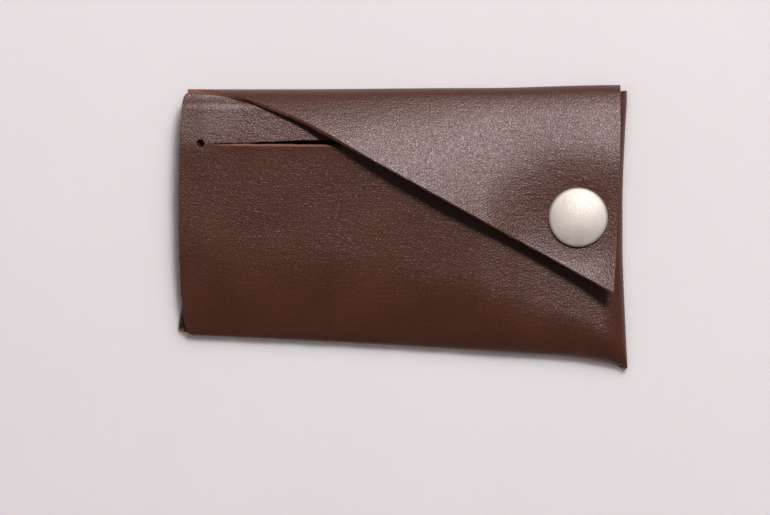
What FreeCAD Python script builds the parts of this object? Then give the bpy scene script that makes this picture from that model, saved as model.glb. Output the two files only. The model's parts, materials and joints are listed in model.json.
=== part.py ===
"""A small card wallet folded from one hide, with a diagonal flap and one snap.

The wallet lies on its back: +X runs along it, +Y points to the fold that the flap hangs on, and +Z is up.
The origin is under the middle of it, on the surface that it lies on. All sizes are in millimetres.
"""

import FreeCAD, Part
import math
import os

from FreeCAD import Vector

# The hide
LEATHER = 1.4
HALF_LENGTH = 56.2
HALF_WIDTH = 35.0

# The rolled fold that the flap hangs on: its angle is -90 at the back panel and 90 at the flap
TOP_R = 5.8
TOP_Y = HALF_WIDTH - TOP_R
LIP_END = -60.0
STRIP_ANGLE = 50.0
STRIPS = 3
HINGE_GAP = 0.1

# The flap, and the diagonal cut that carries on round the rolled fold
DIAGONAL_SLOPE = 0.5424
DIAGONAL_START_X = -63.8
FLAP_RIGHT_TOP_X = 55.3
FLAP_TIP_X = 53.3
TIP_R = 0.8

# The front panel, whose outer face drops from the card pocket to the snap, and again to the right fold
PANEL_LEFT_X = -55.7
POCKET_Z = 10.0
SNAP_SEAT_Z = 6.3
FOLD_Z = 4.6
SLOPE_START_X = 31.0
SEAT_START_X = 38.9
SEAT_END_X = 50.5
PANEL_BEND_Y = 27.0
PANEL_TOP_Y = 32.6
PANEL_TOP_Z = 8.1

# The lower edge, which leans outwards to the right, and more so near the right fold
LOWER_LEFT_Y = -27.0
LOWER_SLOPE = 0.0565
LOWER_DROP = 1.2
LOWER_DROP_START_X = 40.0
BACK_INSET = 0.8
BOTTOM_TAB_WIDTH = 12.0
BOTTOM_TAB_LEFT_X = -50.0

# The folds at the two ends
LEFT_R = 4.3
LEFT_AXIS_X = LEFT_R - HALF_LENGTH
LEFT_LOW_Y = -26.2
LEFT_HIGH_Y = 24.0
LEFT_TAB_LOW_Y = -22.6
LEFT_TAB_END_X = -38.0
RIGHT_R = FOLD_Z / 2
RIGHT_AXIS_X = HALF_LENGTH - RIGHT_R
RIGHT_HIGH_Y = 33.0
CUT_GAP = 0.2

# The thumb slit in the front panel
SLIT_LEFT_X = -50.5
SLIT_RIGHT_X = 37.0
SLIT_Y = 21.3
SLIT_WIDTH = 0.5
STOP_HOLE_R = 1.0

# The snap, on an upright axis
SNAP_X = 44.7
SNAP_Y = 2.4
CAP_R = 7.5
CAP_HEIGHT = 2.3
RIM_HEIGHT = 1.2
SHEET = 0.4
POST_R = 1.9
POST_HOLE_R = 2.0
SOCKET_R = 6.3
SOCKET_HOLE_R = 3.3
SOCKET_HEIGHT = 3.1
GROOVE_R = 5.6
SPRING_R = 0.3
SPRING_HALF_WIDTH = 2.9
STUD_BASE_R = 5.5
STUD_NECK_R = 2.5
STUD_HEAD_R = 2.95
STUD_HEIGHT = 2.1
EYELET_FLANGE_R = 5.3
EYELET_R = 1.9
EYELET_HOLE_R = 2.0

FLAP_TOP_Z = 2 * TOP_R
FLAP_LOW_Z = FLAP_TOP_Z - LEATHER
SOCKET_LOW_Z = FLAP_LOW_Z - SOCKET_HEIGHT


def polygon(points):
    """A flat face through the points."""
    return Part.Face(Part.makePolygon([*points, points[0]]))


def plate(outline, low, high):
    """A flat plate with its outline in X and Y."""
    return polygon([Vector(x, y, low) for x, y in outline]).extrude(Vector(0, 0, high - low))


def cylinder(r, x, y, low, high):
    """An upright cylinder."""
    return Part.makeCylinder(r, high - low, Vector(x, y, low))


def snap_point(place):
    """A point in the plane that the snap's profiles are drawn in, from its radius and height."""
    return Vector(SNAP_X + place[0], SNAP_Y, place[1])


def turned(profile):
    """A solid turned about the snap's axis, from radii and heights."""
    points = [snap_point(place) for place in profile]
    return polygon(points).revolve(Vector(SNAP_X, SNAP_Y, 0), Vector(0, 0, 1), 360)


def line(start, end):
    """A straight edge of a turned profile."""
    return Part.LineSegment(snap_point(start), snap_point(end)).toShape()


def arc(start, middle, end):
    """A round edge of a turned profile."""
    return Part.Arc(snap_point(start), snap_point(middle), snap_point(end)).toShape()


def smooth_step(value, start, end):
    """A value that rises gently from 0 at start to 1 at end."""
    t = min(max((value - start) / (end - start), 0.0), 1.0)
    return t * t * (3 - 2 * t)


def panel_height(x):
    """The height of the front panel's outer face."""
    to_seat = smooth_step(x, SLOPE_START_X, SEAT_START_X)
    to_fold = smooth_step(x, SEAT_END_X, RIGHT_AXIS_X)
    return POCKET_Z + (SNAP_SEAT_Z - POCKET_Z) * to_seat + (FOLD_Z - SNAP_SEAT_Z) * to_fold


def lower_roll_radius(x):
    """The outer radius of the bottom fold, which lies on the back panel."""
    return (panel_height(x) - LEATHER) / 2


def lower_edge_y(x):
    """Where the wallet's lower edge is."""
    drop = LOWER_DROP * smooth_step(x, LOWER_DROP_START_X, RIGHT_AXIS_X)
    return LOWER_LEFT_Y - LOWER_SLOPE * (x - PANEL_LEFT_X) - drop


def lower_axis_y(x):
    """Where the bottom fold's axis is."""
    return lower_edge_y(x) + lower_roll_radius(x)


def diagonal_x(roll):
    """Where the diagonal cut crosses a line that far round the hide from the back panel's top."""
    return DIAGONAL_START_X + roll / DIAGONAL_SLOPE


def diagonal_y(x):
    """Where the diagonal cut is on the flat flap."""
    return TOP_Y + math.pi * TOP_R - (x - DIAGONAL_START_X) * DIAGONAL_SLOPE


def stations(start, end):
    """The places along X where the front panel's section is set."""
    slope_steps = [SLOPE_START_X + (SEAT_START_X - SLOPE_START_X) * i / 6 for i in range(7)]
    fold_steps = [SEAT_END_X + (RIGHT_AXIS_X - SEAT_END_X) * i / 3 for i in range(4)]
    inner = [x for x in slope_steps + fold_steps if start < x < end]
    return [start, *inner, end]


def on_top_roll(x, r, angle):
    """A point on the rolled fold."""
    turn = math.radians(angle)
    return Vector(x, TOP_Y + r * math.cos(turn), TOP_R + r * math.sin(turn))


def top_roll_piece(start, end, left_x, right_x):
    """A stretch of the rolled fold between two angles."""
    inner = TOP_R - LEATHER
    middle = (start + end) / 2
    outer_arc = Part.Arc(*[on_top_roll(left_x, TOP_R, a) for a in (start, middle, end)])
    inner_arc = Part.Arc(*[on_top_roll(left_x, inner, a) for a in (end, middle, start)])
    end_line = Part.LineSegment(on_top_roll(left_x, TOP_R, end), on_top_roll(left_x, inner, end))
    start_line = Part.LineSegment(on_top_roll(left_x, inner, start), on_top_roll(left_x, TOP_R, start))
    edges = [piece.toShape() for piece in (outer_arc, end_line, inner_arc, start_line)]
    return Part.Face(Part.Wire(edges)).extrude(Vector(right_x - left_x, 0, 0))


def waste_left_of_diagonal(start, end):
    """A block that fills the side of the diagonal cut where a strip has no leather."""
    start_roll = TOP_R * math.radians(start + 90)
    end_roll = TOP_R * math.radians(end + 90)
    first = on_top_roll(diagonal_x(start_roll), TOP_R, start)
    last = on_top_roll(diagonal_x(end_roll), TOP_R, end)
    along = (last - first).normalize()
    inwards = (on_top_roll(0, 0, 0) - on_top_roll(0, TOP_R, (start + end) / 2)).normalize()
    away = inwards.cross(along).normalize()
    if away.x > 0:
        away = -away
    long, deep = 60.0, 12.0
    corner = first - along * long / 2 - inwards * deep / 2
    far = corner + along * long
    face = polygon([corner, far, far + inwards * deep, corner + inwards * deep])
    return face.extrude(away * long)


def fold_strip(index):
    """One of the strips that the rolled fold bends between, with a small gap at each hinge line."""
    gap_angle = math.degrees(HINGE_GAP / TOP_R)
    start = LIP_END + STRIP_ANGLE * index
    end = start + STRIP_ANGLE
    right_x = RIGHT_AXIS_X - CUT_GAP if index == 0 else FLAP_RIGHT_TOP_X
    blank = top_roll_piece(start + gap_angle / 2, end - gap_angle / 2, PANEL_LEFT_X, right_x)
    return blank.cut(waste_left_of_diagonal(start, end))


def back_panel():
    """The panel that the wallet lies on, with the first stretch of the rolled fold."""
    lower_places = (LEFT_AXIS_X, LOWER_DROP_START_X, RIGHT_AXIS_X)
    outline = [
        *[(x, lower_edge_y(x) + BACK_INSET) for x in lower_places],
        (RIGHT_AXIS_X, TOP_Y - CUT_GAP),
        (RIGHT_AXIS_X - CUT_GAP, TOP_Y),
        (PANEL_LEFT_X, TOP_Y),
        (PANEL_LEFT_X, LEFT_HIGH_Y + CUT_GAP),
        (LEFT_AXIS_X, LEFT_HIGH_Y + CUT_GAP),
    ]
    lip_end = LIP_END - math.degrees(HINGE_GAP / 2 / TOP_R)
    lip = top_roll_piece(-90.0, lip_end, PANEL_LEFT_X, RIGHT_AXIS_X - CUT_GAP)
    return plate(outline, 0, LEATHER).fuse(lip).removeSplitter()


def end_fold(axis_x, r, side, low_y, high_y):
    """A half-round fold about a line along Y; side is 1 on the right and -1 on the left."""

    def point(radius, angle):
        turn = math.radians(angle)
        return Vector(axis_x + side * radius * math.cos(turn), low_y, r + radius * math.sin(turn))

    inner = r - LEATHER
    edges = [
        Part.Arc(point(r, -90), point(r, 0), point(r, 90)).toShape(),
        Part.LineSegment(point(r, 90), point(inner, 90)).toShape(),
        Part.Arc(point(inner, 90), point(inner, 0), point(inner, -90)).toShape(),
        Part.LineSegment(point(inner, -90), point(r, -90)).toShape(),
    ]
    return Part.Face(Part.Wire(edges)).extrude(Vector(0, high_y - low_y, 0))


def left_tab():
    """The tab from the left fold that is tucked under the front panel, with its corners clipped."""
    clip = 4.0
    outline = [
        (LEFT_AXIS_X, LEFT_TAB_LOW_Y),
        (LEFT_TAB_END_X - clip, LEFT_TAB_LOW_Y),
        (LEFT_TAB_END_X, LEFT_TAB_LOW_Y + clip),
        (LEFT_TAB_END_X, LEFT_HIGH_Y - clip),
        (LEFT_TAB_END_X - clip, LEFT_HIGH_Y),
        (LEFT_AXIS_X, LEFT_HIGH_Y),
    ]
    return plate(outline, 2 * LEFT_R - LEATHER, 2 * LEFT_R)


def panel_section(x):
    """The front panel's closed section at a place along X."""
    high = panel_height(x)
    high_at_top = min(high, PANEL_TOP_Z)
    low_y = lower_axis_y(x)
    outer = [(low_y, high), (PANEL_BEND_Y, high), (PANEL_TOP_Y, high_at_top)]
    inner = [(y, z - LEATHER) for y, z in reversed(outer)]
    points = [Vector(x, y, z) for y, z in outer + inner]
    return Part.makePolygon([*points, points[0]])


def front_panel():
    """The front panel, with the thumb slit between its two stop holes and the stud's hole."""
    sections = [panel_section(x) for x in stations(PANEL_LEFT_X, RIGHT_AXIS_X)]
    panel = Part.makeLoft(sections, True, True)
    slit_corner = Vector(SLIT_LEFT_X, SLIT_Y - SLIT_WIDTH / 2, LEATHER)
    slit = Part.makeBox(SLIT_RIGHT_X - SLIT_LEFT_X, SLIT_WIDTH, POCKET_Z, slit_corner)
    holes = [cylinder(STOP_HOLE_R, x, SLIT_Y, 0, POCKET_Z + 1) for x in (SLIT_LEFT_X, SLIT_RIGHT_X)]
    stud_hole = cylinder(EYELET_HOLE_R, SNAP_X, SNAP_Y, 0, POCKET_Z)
    return panel.cut(slit).cut(holes[0]).cut(holes[1]).cut(stud_hole)


def lower_section(x, start, end):
    """The bottom fold's closed section at a place along X, between two angles; 180 is its outermost line."""
    outer = lower_roll_radius(x)
    inner = outer - LEATHER
    axis_z = LEATHER + outer

    def point(radius, angle):
        turn = math.radians(angle)
        return Vector(x, lower_axis_y(x) + radius * math.cos(turn), axis_z + radius * math.sin(turn))

    middle = (start + end) / 2
    edges = [
        Part.Arc(point(outer, start), point(outer, middle), point(outer, end)),
        Part.LineSegment(point(outer, end), point(inner, end)),
        Part.Arc(point(inner, end), point(inner, middle), point(inner, start)),
        Part.LineSegment(point(inner, start), point(outer, start)),
    ]
    return Part.Wire([edge.toShape() for edge in edges])


def bottom_fold(start, end):
    """A stretch of the fold at the front panel's lower edge, which tapers with the wallet."""
    places = stations(LEFT_AXIS_X + CUT_GAP, RIGHT_AXIS_X)
    return Part.makeLoft([lower_section(x, start, end) for x in places], True, True)


def bottom_tab():
    """The tab from the bottom fold that lies on the back panel, inside the wallet."""
    lower_edge = [(x, lower_axis_y(x)) for x in stations(BOTTOM_TAB_LEFT_X, SEAT_END_X)]
    upper_edge = [
        (SEAT_END_X, lower_axis_y(SEAT_END_X) + BOTTOM_TAB_WIDTH),
        (BOTTOM_TAB_LEFT_X + BOTTOM_TAB_WIDTH / 2, lower_axis_y(BOTTOM_TAB_LEFT_X) + BOTTOM_TAB_WIDTH),
        (BOTTOM_TAB_LEFT_X, lower_axis_y(BOTTOM_TAB_LEFT_X) + BOTTOM_TAB_WIDTH / 2),
    ]
    return plate(lower_edge + upper_edge, LEATHER, 2 * LEATHER)


def flap():
    """The flat part of the flap, with a hole for the cap's post."""
    top_y = TOP_Y - HINGE_GAP / 2
    top_left_x = DIAGONAL_START_X + (TOP_Y + math.pi * TOP_R - top_y) / DIAGONAL_SLOPE
    outline = [
        (top_left_x, top_y),
        (FLAP_TIP_X, diagonal_y(FLAP_TIP_X)),
        (FLAP_RIGHT_TOP_X, top_y),
    ]
    sheet = plate(outline, FLAP_LOW_Z, FLAP_TOP_Z)
    tip_edges = [
        edge
        for edge in sheet.Edges
        if edge.Length < LEATHER * 1.01 and edge.CenterOfMass.y < 0
    ]
    return sheet.makeFillet(TIP_R, tip_edges).cut(cylinder(POST_HOLE_R, SNAP_X, SNAP_Y, 0, FLAP_TOP_Z + 1))


def dome_arc(sphere_r, top_z, start_r, end_r):
    """An arc of a sphere on the snap's axis, between two radii."""
    radii = (start_r, (start_r + end_r) / 2, end_r)
    return arc(*[(r, top_z - sphere_r + math.sqrt(sphere_r**2 - r**2)) for r in radii])


def snap_cap():
    """The low domed shell of the snap's cap, curled in under its rim."""
    top_z = FLAP_TOP_Z + CAP_HEIGHT
    rim_z = FLAP_TOP_Z + RIM_HEIGHT
    shoulder_r = CAP_R - 0.25
    rise = top_z - rim_z
    sphere_r = (shoulder_r**2 + rise**2) / (2 * rise)
    inner_r = shoulder_r - SHEET
    inner_sphere_r = sphere_r - SHEET
    inner_rim_z = top_z - SHEET - inner_sphere_r + math.sqrt(inner_sphere_r**2 - inner_r**2)
    curl_r = CAP_R - 2.0
    lower_r = CAP_R - SHEET
    curl_z = FLAP_TOP_Z + SHEET
    profile = [
        dome_arc(sphere_r, top_z, 0, shoulder_r),
        arc((shoulder_r, rim_z), (CAP_R, FLAP_TOP_Z + RIM_HEIGHT / 2), (lower_r, FLAP_TOP_Z)),
        line((lower_r, FLAP_TOP_Z), (curl_r, FLAP_TOP_Z)),
        line((curl_r, FLAP_TOP_Z), (curl_r, curl_z)),
        line((curl_r, curl_z), (inner_r, curl_z)),
        line((inner_r, curl_z), (inner_r, inner_rim_z)),
        dome_arc(inner_sphere_r, top_z - SHEET, inner_r, 0),
        line((0, top_z - SHEET), (0, top_z)),
    ]
    return Part.Face(Part.Wire(profile)).revolve(Vector(SNAP_X, SNAP_Y, 0), Vector(0, 0, 1), 360)


def snap_cap_post():
    """The disc held inside the cap and its tube, which goes through the flap and is flared in the socket."""
    disc_low = FLAP_TOP_Z + SHEET
    disc_high = disc_low + SHEET
    flare_z = FLAP_LOW_Z - 2 * SHEET
    bore_r = POST_R - SHEET
    return turned(
        [
            (bore_r, flare_z),
            (POST_R + 0.8, flare_z),
            (POST_R + 0.8, flare_z + SHEET),
            (POST_R, flare_z + SHEET),
            (POST_R, disc_low),
            (CAP_R - 3 * SHEET, disc_low),
            (CAP_R - 3 * SHEET, disc_high),
            (bore_r, disc_high),
        ]
    )


def snap_socket():
    """The round socket under the flap, with a groove for its spring."""
    roof_low = FLAP_LOW_Z - SHEET
    groove_low = SOCKET_LOW_Z + 0.5
    groove_high = groove_low + 2 * SPRING_R + 0.2
    return turned(
        [
            (SOCKET_HOLE_R, SOCKET_LOW_Z),
            (SOCKET_R - 0.5, SOCKET_LOW_Z),
            (SOCKET_R, SOCKET_LOW_Z + 0.5),
            (SOCKET_R, FLAP_LOW_Z - 0.3),
            (SOCKET_R - 0.3, FLAP_LOW_Z),
            (POST_R, FLAP_LOW_Z),
            (POST_R, roof_low),
            (SOCKET_HOLE_R, roof_low),
            (SOCKET_HOLE_R, groove_high),
            (GROOVE_R, groove_high),
            (GROOVE_R, groove_low),
            (SOCKET_HOLE_R, groove_low),
        ]
    )


def socket_spring():
    """The bent wire in the socket: two straight legs that close on the stud's neck, joined by an arc."""
    z = SOCKET_LOW_Z + 0.5 + SPRING_R + 0.1
    leg_low, leg_high = SNAP_Y - 4.2, SNAP_Y + 2.2
    left, right = SNAP_X - SPRING_HALF_WIDTH, SNAP_X + SPRING_HALF_WIDTH
    crown = Vector(SNAP_X, leg_high + SPRING_HALF_WIDTH, z)
    path = Part.Wire(
        [
            Part.LineSegment(Vector(left, leg_low, z), Vector(left, leg_high, z)).toShape(),
            Part.Arc(Vector(left, leg_high, z), crown, Vector(right, leg_high, z)).toShape(),
            Part.LineSegment(Vector(right, leg_high, z), Vector(right, leg_low, z)).toShape(),
        ]
    )
    end = Part.Wire([Part.makeCircle(SPRING_R, Vector(left, leg_low, z), Vector(0, 1, 0))])
    return path.makePipeShell([end], True, False)


def snap_stud():
    """The male half of the snap: a dished base, a narrow neck and a rounded head."""
    base_low = SNAP_SEAT_Z
    neck_low = base_low + 0.5
    neck_high = SOCKET_LOW_Z + 1.3
    head_high = SOCKET_LOW_Z + STUD_HEIGHT
    bore_r = EYELET_R
    return turned(
        [
            (bore_r, base_low),
            (STUD_BASE_R, base_low),
            (STUD_BASE_R, base_low + 0.3),
            (STUD_BASE_R - 0.6, neck_low),
            (STUD_NECK_R, neck_low),
            (STUD_NECK_R, neck_high),
            (STUD_HEAD_R, neck_high + 0.2),
            (STUD_HEAD_R, head_high - 0.3),
            (STUD_HEAD_R - 0.4, head_high),
            (bore_r, head_high),
        ]
    )


def stud_eyelet():
    """The flanged tube that clamps the stud to the front panel, flared over in the stud's head."""
    flange_high = SNAP_SEAT_Z - LEATHER
    tube_high = SOCKET_LOW_Z + STUD_HEIGHT
    return turned(
        [
            (EYELET_R - SHEET, flange_high - SHEET),
            (EYELET_FLANGE_R, flange_high - SHEET),
            (EYELET_FLANGE_R, flange_high),
            (EYELET_R, flange_high),
            (EYELET_R, tube_high),
            (EYELET_R - SHEET, tube_high),
        ]
    )


def make_nodes():
    """Every node's solid, by name."""
    nodes = {
        "back_panel": back_panel(),
        "left_fold": end_fold(LEFT_AXIS_X, LEFT_R, -1, LEFT_LOW_Y, LEFT_HIGH_Y),
        "left_tab": left_tab(),
        "right_fold": end_fold(RIGHT_AXIS_X, RIGHT_R, 1, -HALF_WIDTH, RIGHT_HIGH_Y),
        "front_panel": front_panel(),
        "bottom_fold_upper": bottom_fold(90, 180),
        "bottom_fold_lower": bottom_fold(180, 270),
        "bottom_tab": bottom_tab(),
    }
    for index in range(STRIPS):
        nodes[f"fold_strip_{index + 1}"] = fold_strip(index)
    nodes["flap"] = flap()
    nodes["snap_cap"] = snap_cap()
    nodes["snap_cap_post"] = snap_cap_post()
    nodes["snap_socket"] = snap_socket()
    nodes["socket_spring"] = socket_spring()
    nodes["snap_stud"] = snap_stud()
    nodes["stud_eyelet"] = stud_eyelet()
    return nodes


os.makedirs("parts", exist_ok=True)
for name, shape in make_nodes().items():
    shape.exportStep(f"parts/{name}.step")
    print(f"{name}: {shape.Volume:.1f} cubic mm in {len(shape.Solids)} solid, valid {shape.isValid()}")
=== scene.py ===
"""The looks of a small card wallet: its hide, its snap, the floor that it lies on, the lights and the camera.

The hide is cut flat and then folded, as the real one is. A place on the flat hide is u along the wallet and
v across it, and a fold is a function that takes that place to where it lies on the wallet. Lengths are in
millimetres up to the point where a mesh is made.
"""

import json
import math

import bmesh
import bpy
import numpy as np
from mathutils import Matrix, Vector, geometry, kdtree


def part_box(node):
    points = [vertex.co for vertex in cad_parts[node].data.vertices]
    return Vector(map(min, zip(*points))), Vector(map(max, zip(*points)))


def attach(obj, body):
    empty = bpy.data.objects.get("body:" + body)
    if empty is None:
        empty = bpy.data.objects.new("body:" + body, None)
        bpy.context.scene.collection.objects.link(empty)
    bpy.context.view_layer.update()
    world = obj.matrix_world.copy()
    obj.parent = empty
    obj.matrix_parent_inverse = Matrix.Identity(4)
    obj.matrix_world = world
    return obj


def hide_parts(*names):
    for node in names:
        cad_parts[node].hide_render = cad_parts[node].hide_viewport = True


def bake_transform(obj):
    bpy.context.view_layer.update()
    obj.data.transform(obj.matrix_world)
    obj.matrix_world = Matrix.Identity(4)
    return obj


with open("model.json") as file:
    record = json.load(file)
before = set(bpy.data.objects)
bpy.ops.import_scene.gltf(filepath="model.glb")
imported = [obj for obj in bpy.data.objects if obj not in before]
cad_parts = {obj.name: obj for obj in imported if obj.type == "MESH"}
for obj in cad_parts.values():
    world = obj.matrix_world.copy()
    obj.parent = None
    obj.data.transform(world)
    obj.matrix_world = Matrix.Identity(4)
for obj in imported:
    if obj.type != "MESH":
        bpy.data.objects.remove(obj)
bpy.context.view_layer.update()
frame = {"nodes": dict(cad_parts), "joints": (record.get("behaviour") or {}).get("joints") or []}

MM = 0.001


def node_box(node):
    """A CAD node's lowest and highest corner."""
    low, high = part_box(node)
    return np.array(low) / MM, np.array(high) / MM


FLAP_LOW, FLAP_HIGH = node_box("flap")
_, PANEL_HIGH = node_box("front_panel")
LEFT_LOW, LEFT_HIGH = node_box("left_fold")
_, RIGHT_HIGH = node_box("right_fold")
TAB_LOW, TAB_HIGH = node_box("left_tab")
CAP_LOW, CAP_HIGH = node_box("snap_cap")
SOCKET_LOW, SOCKET_HIGH = node_box("snap_socket")
STUD_LOW, STUD_HIGH = node_box("snap_stud")

# The hide, and the rolled fold that the flap hangs on and leaves at ROLL_END from the back panel
LEATHER = FLAP_HIGH[2] - FLAP_LOW[2]
ROLL_R = FLAP_HIGH[2] / 2
ROLL_Y = frame["joints"][-1]["pos_m"][1] / MM
STRIP_END_ANGLES = (-35.0, 15.0, 65.0)
ROLL_END = math.radians(145.5)

# The folds at the two ends, as places on the flat hide
LEFT_AXIS = LEFT_HIGH[0]
LEFT_R = LEFT_HIGH[2] / 2
LEFT_FLAT = LEFT_AXIS - math.pi * LEFT_R
RIGHT_AXIS = PANEL_HIGH[0]
RIGHT_R = RIGHT_HIGH[2] / 2
RIGHT_FLAT = RIGHT_AXIS + math.pi * RIGHT_R
RIGHT_REACH = RIGHT_HIGH[0] - RIGHT_AXIS

# The front panel's heights, and its lower roll with the tab behind it
POCKET_Z = PANEL_HIGH[2] - 0.4
SEAT_Z = STUD_LOW[2]
TAB_Z = LEATHER + 0.02
TAB_WIDTH = 12.0
BELLY_SHARE = 0.18
CROWN_POWER = 0.66
PANEL_SLOPE = 0.06
SECTION_STEPS = 60

# The thumb slit
SLIT_LEFT_X = -50.5
SLIT_RIGHT_X = 37.0
SLIT_Y = 21.05
SLIT_CUT_Y = SLIT_Y - 0.15
STOP_HOLE_R = 1.0

# The diagonal cut, and the right edge of the rolled fold and the flap
DIAGONAL_SLOPE = 0.55
EAR_X = -53.7
ROLL_RIGHT_X = 53.8
FLAP_RIGHT_X = 55.55
FLAP_STEP_V = 8.1
TIP_X = 53.6
TIP_Y = FLAP_LOW[1] - 0.95
DIAGONAL_START_X = TIP_X - (ROLL_Y + math.pi * ROLL_R - TIP_Y) / DIAGONAL_SLOPE

# The snap
SNAP = (CAP_LOW[:2] + CAP_HIGH[:2]) / 2
CAP_R = (CAP_HIGH[0] - CAP_LOW[0]) / 2
POST_R = 1.95
METAL = 0.4

# How finely the hide is meshed
GRID = 0.9
EDGE_STEP = 0.45
NORMAL_STEP = 0.2


# ---------------------------------------------------------------- small tools


def smooth(value, start, end):
    """Rises gently from 0 at start to 1 at end."""
    t = np.clip((np.asarray(value, float) - start) / (end - start), 0.0, 1.0)
    return t * t * (3 - 2 * t)


def ripple(u, v, size):
    """A gentle unevenness from -1 to 1 with about that size, the same on every piece of the hide."""
    a, b = np.asarray(u, float) / size, np.asarray(v, float) / size
    waves = np.sin(2.1 * a + 1.3 * b + 0.7) + np.sin(1.1 * a - 2.3 * b + 2.1)
    return (waves + np.sin(3.7 * a + 2.9 * b + 4.0) * 0.6 + np.sin(-2.9 * a + 4.3 * b) * 0.4) / 3.0


# ---------------------------------------------------------------- how the hide is folded


def panel_height(x):
    """The height of the front panel's outer face, which drops to the snap and then rounds the right end."""
    to_seat = (POCKET_Z - SEAT_Z) * smooth(x, 18.0, 39.5)
    over = np.clip((x - 48.0) / (RIGHT_AXIS + RIGHT_REACH - 48.0), 0.0, 1.0)
    to_edge = (SEAT_Z - RIGHT_R) * (1 - np.sqrt(1 - over**2.2))
    to_left = 0.4 * (np.maximum(-20.0 - x, 0.0) / 36.0) ** 2
    return POCKET_Z - to_seat - to_edge - to_left


def lower_edge(x):
    """Where the wallet's lower edge is, seen from above."""
    return -30.0 - 0.058 * x - 0.00016 * x**2 - smooth(x, 42.0, 57.0) - smooth(x, 52.0, 57.5)


def crown_width(x):
    """How far in from the lower edge the front panel starts to curve down."""
    return 26.0 - 19.0 * np.clip((x + 56.0) / 112.0, 0.0, 1.0) ** 2.2


def slit_lift(x):
    """How far the slit has opened, from 0 at its ends to 1."""
    return smooth(x, SLIT_LEFT_X, -40.0) * (1 - smooth(x, 25.0, SLIT_RIGHT_X))


def panel_relief(x, y, above_slit):
    """What the slit, the free top edge and the hide's unevenness add to the front panel's height."""
    falling = 0.08 * 1.5 * np.logaddexp(0.0, (y - SLIT_Y) / 1.5)
    falling = falling + PANEL_SLOPE * np.clip(SLIT_Y - y, 0.0, 45.0) * (1 - smooth(x, 10.0, 40.0))
    lip = np.where(above_slit, -0.5, 0.35 * np.exp((np.minimum(y, SLIT_Y) - SLIT_Y) / 2.5))
    return slit_lift(x) * lip - falling - smooth(y, 30.0, 33.5) + 0.05 * ripple(x, y, 9.0)


def panel_z(x, y):
    """The height of the front panel's outer face, its curve down to the lower edge included."""
    high = panel_height(x)
    belly = TAB_Z + BELLY_SHARE * (high - TAB_Z)
    over = np.clip((lower_edge(x) + crown_width(x) - y) / crown_width(x), 0.0, 1.0)
    share = (1 - over**2) ** CROWN_POWER
    z = belly + (high - belly) * share
    return z + np.clip((z - TAB_Z) / (high - TAB_Z), 0.0, 1.0) * panel_relief(x, y, y > SLIT_Y)


def lower_roll(x):
    """The panel's section from where it starts to curve down, round the lower edge and along the tab."""
    edge, crown, high = (values[:, None] for values in (lower_edge(x), crown_width(x), panel_height(x)))
    belly = TAB_Z + BELLY_SHARE * (high - TAB_Z)
    tuck = 1.1 * (belly - TAB_Z)
    turn = np.linspace(0.0, math.pi / 2, SECTION_STEPS)
    upper_y = edge + crown * (1 - np.sin(turn))
    upper_z = belly + (high - belly) * np.maximum(np.cos(turn), 0.0) ** (2 * CROWN_POWER)
    under_y, under_z = edge + tuck * (1 - np.cos(turn[1:])), belly - (belly - TAB_Z) * np.sin(turn[1:])
    end_y, end_z = edge + tuck + 2 * TAB_WIDTH, np.full_like(edge, TAB_Z)
    return np.hstack([upper_y, under_y, end_y]), np.hstack([upper_z, under_z, end_z])


def walk(y, z, distance):
    """The point that far along each row's line."""
    steps = np.hypot(np.diff(y), np.diff(z))
    reach = np.hstack([np.zeros((len(y), 1)), np.cumsum(steps, axis=1)])
    index = np.minimum((reach[:, 1:] < distance[:, None]).sum(axis=1), steps.shape[1] - 1)
    row = np.arange(len(y))
    share = (distance - reach[row, index]) / steps[row, index]
    along_y = y[row, index] + share * (y[row, index + 1] - y[row, index])
    along_z = z[row, index] + share * (z[row, index + 1] - z[row, index])
    return along_y, along_z


def front_section(x, v, above_slit):
    """Where the front panel is along Y and Z: flat, then down and round the lower edge."""
    curve_start = lower_edge(x) + crown_width(x)
    y, z = walk(*lower_roll(x), np.maximum(curve_start - v, 0.0))
    flat = v > curve_start
    y = np.where(flat, v, y)
    z = np.where(flat, panel_height(x), z)
    fade = np.where(flat, 1.0, np.clip((z - TAB_Z) / (panel_height(x) - TAB_Z), 0.0, 1.0))
    return y, z + fade * panel_relief(x, v, above_slit)


def fold_front(x, v, above_slit):
    """The front panel, with the tab that it ends in behind the lower edge."""
    y, z = front_section(x, v, above_slit)
    return np.stack([x, y, z], axis=1)


def fold_right(u, v, above_slit):
    """The narrow fold at the right end, which carries the panel's curves on and flares towards both ends."""
    turn = (u - RIGHT_AXIS) / RIGHT_R
    side = np.maximum(np.sin(turn), 0.0)
    flare = 1.15 * np.clip((v - 6.0) / 26.0, 0, 1) ** 1.5 + 1.25 * np.clip((-v - 6.0) / 29.0, 0, 1) ** 1.2
    over_y, over_z = front_section(RIGHT_AXIS + RIGHT_REACH * side, v, above_slit)
    edge_y, edge_z = front_section(np.full_like(v, RIGHT_AXIS + RIGHT_REACH), v, above_slit)
    under_y = v + (edge_y - v) * side**2
    under_z = edge_z * (1 - np.cos(turn))
    upper = turn > math.pi / 2
    y, z = np.where(upper, over_y, under_y), np.where(upper, over_z, under_z)
    return np.stack([RIGHT_AXIS + (RIGHT_REACH + flare) * side, y, z], axis=1)


def left_fold_height(x, v):
    """The height of the left tab's outer face, which sags away from the front panel."""
    return panel_z(x, v) - LEATHER - 0.15 - 1.3 * smooth(x, LEFT_AXIS + 0.2, LEFT_AXIS + 2.6)


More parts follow.
